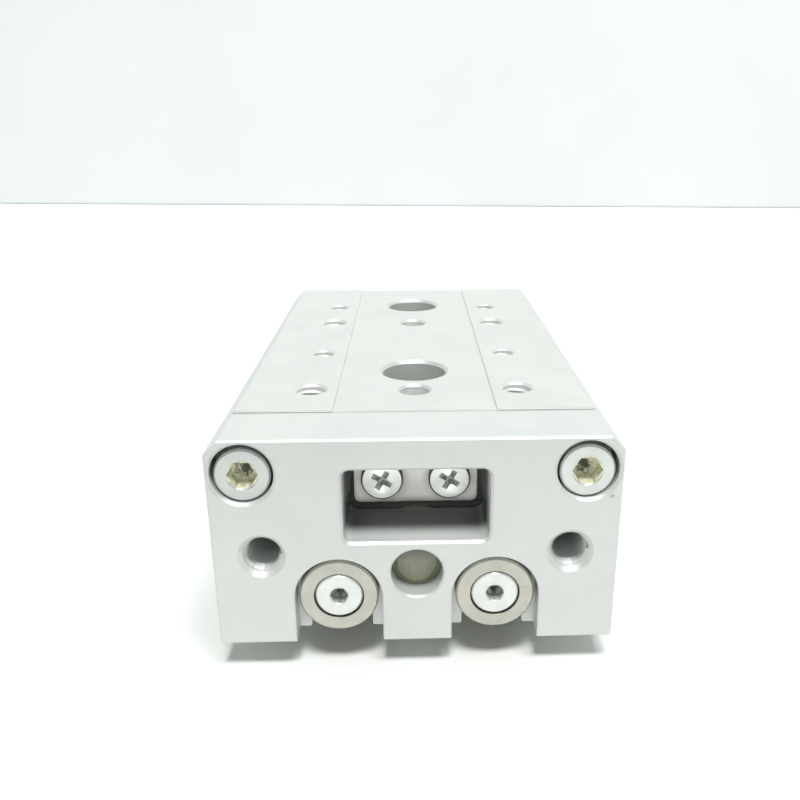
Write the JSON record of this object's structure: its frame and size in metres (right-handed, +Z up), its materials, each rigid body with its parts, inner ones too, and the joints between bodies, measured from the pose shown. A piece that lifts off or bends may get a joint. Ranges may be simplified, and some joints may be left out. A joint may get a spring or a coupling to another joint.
{
  "type": "pneumatic slide table",
  "caption": "Compact air-driven slide table: a flat twin-bore cylinder block carries a table with an end plate on crossed roller ways.",
  "frame": {"origin": "bottom centre of the closed unit, on the mounting face", "axes": "+X across the unit, -Y the way the table moves out, +Z up from the mounting face"},
  "size_m": [0.0624, 0.104, 0.04],
  "materials": {
    "body_alloy": "clear anodised, fine satin",
    "table_alloy": "clear anodised, bead-blasted",
    "plate_alloy": "clear anodised, fine satin",
    "cap_alloy": "turned, hard anodised",
    "piston_alloy": "turned",
    "ground_steel": "ground",
    "plated_steel": "nickel plated, satin",
    "nickel_steel": "nickel plated, warm satin",
    "zinc_steel": "white zinc plated",
    "black_steel": "black oxide",
    "spring_steel": "phosphated",
    "chrome_rod": "hard chrome, polished",
    "bearing_bronze": "turned bronze",
    "cage_brass": "stamped",
    "seal_rubber": "nitrile",
    "magnet_rubber": "bonded magnet",
    "urethane": "translucent urethane",
    "wear_resin": "filled resin"
  },
  "bodies": {
    "cylinder": {"body": "body_alloy", "port_plugs": "zinc_steel", "guide_block": "ground_steel", "guide_block_screws": "black_steel", "guide_stop_front": "plated_steel", "guide_stop_rear": "plated_steel", "guide_stop_screws": "zinc_steel", "rod_gland_left": "bearing_bronze", "rod_gland_right": "bearing_bronze", "rod_seal_left": "seal_rubber", "rod_seal_right": "seal_rubber", "gland_ring_left": "seal_rubber", "gland_ring_right": "seal_rubber", "gland_clip_left": "spring_steel", "gland_clip_right": "spring_steel", "stop_ring_left": "urethane", "stop_ring_right": "urethane", "head_cap_left": "cap_alloy", "head_cap_right": "cap_alloy", "cap_ring_left": "seal_rubber", "cap_ring_right": "seal_rubber", "cap_clip_left": "spring_steel", "cap_clip_right": "spring_steel"},
    "slide": {"table": "table_alloy", "rail_left": "ground_steel", "rail_right": "ground_steel", "rail_screws": "black_steel", "rail_stop_screws": "zinc_steel", "preload_screws": "black_steel", "end_plate": "plate_alloy", "plate_screws": "zinc_steel", "plate_bumper": "urethane", "floating_bush_left": "nickel_steel", "floating_bush_right": "nickel_steel", "thrust_washer_left": "nickel_steel", "thrust_washer_right": "nickel_steel", "rod_end_screws": "zinc_steel", "piston_rod_left": "chrome_rod", "piston_rod_right": "chrome_rod", "piston_left": "piston_alloy", "piston_right": "piston_alloy", "piston_seal_left": "seal_rubber", "piston_seal_right": "seal_rubber", "piston_magnet_left": "magnet_rubber", "piston_magnet_right": "magnet_rubber", "wear_ring_left": "wear_resin", "wear_ring_right": "wear_resin", "piston_screws": "black_steel"},
    "left_way": {"roller_cage_left": "cage_brass", "rollers_left": "ground_steel"},
    "right_way": {"roller_cage_right": "cage_brass", "rollers_right": "ground_steel"}
  },
  "joints": [
    {"name": "table_slide", "type": "slide", "parent": "cylinder", "child": "slide", "axis": [0, -1, 0], "range_m": [0, 0.04]},
    {"name": "left_cage_slide", "type": "slide", "parent": "cylinder", "child": "left_way", "axis": [0, -1, 0], "range_m": [0, 0.02]},
    {"name": "right_cage_slide", "type": "slide", "parent": "cylinder", "child": "right_way", "axis": [0, -1, 0], "range_m": [0, 0.02]}
  ],
  "couplings": [
    {"joint": "left_cage_slide", "follows": "table_slide", "ratio": 0.5},
    {"joint": "right_cage_slide", "follows": "table_slide", "ratio": 0.5}
  ]
}
